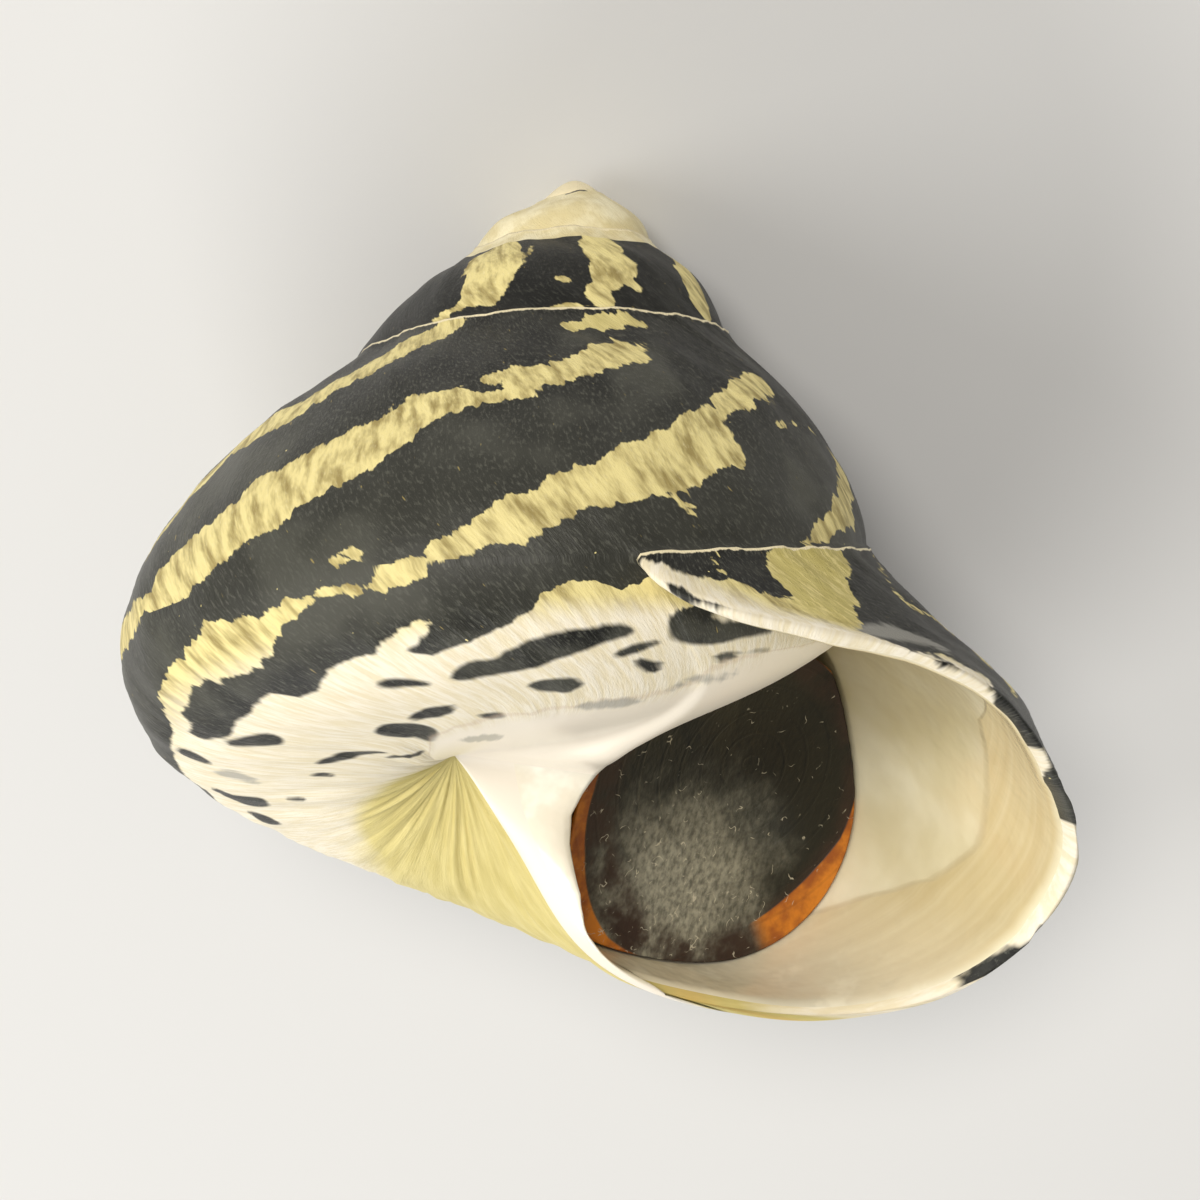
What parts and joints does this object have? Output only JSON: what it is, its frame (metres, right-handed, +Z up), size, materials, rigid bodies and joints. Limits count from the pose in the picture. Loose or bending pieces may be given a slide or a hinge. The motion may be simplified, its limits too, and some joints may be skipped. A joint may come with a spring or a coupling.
{
  "type": "west indian top shell",
  "caption": "Coiled top shell lying on its back, its wide mouth up and the round horny lid still in the mouth.",
  "frame": {"origin": "on the surface it lies on, under the middle of its box", "axes": "+Z up; the apex points towards +Y and down, and the outer lip is towards +X"},
  "size_m": [0.0664, 0.056, 0.042],
  "materials": {
    "shell": "aragonite shell, satin: charcoal zebra bands on cream, pale nacre inside",
    "operculum": "horn, semi-gloss: near-black with an amber translucent margin"
  },
  "bodies": {
    "root": {"shell": "shell", "operculum": "operculum"}
  },
  "joints": []
}
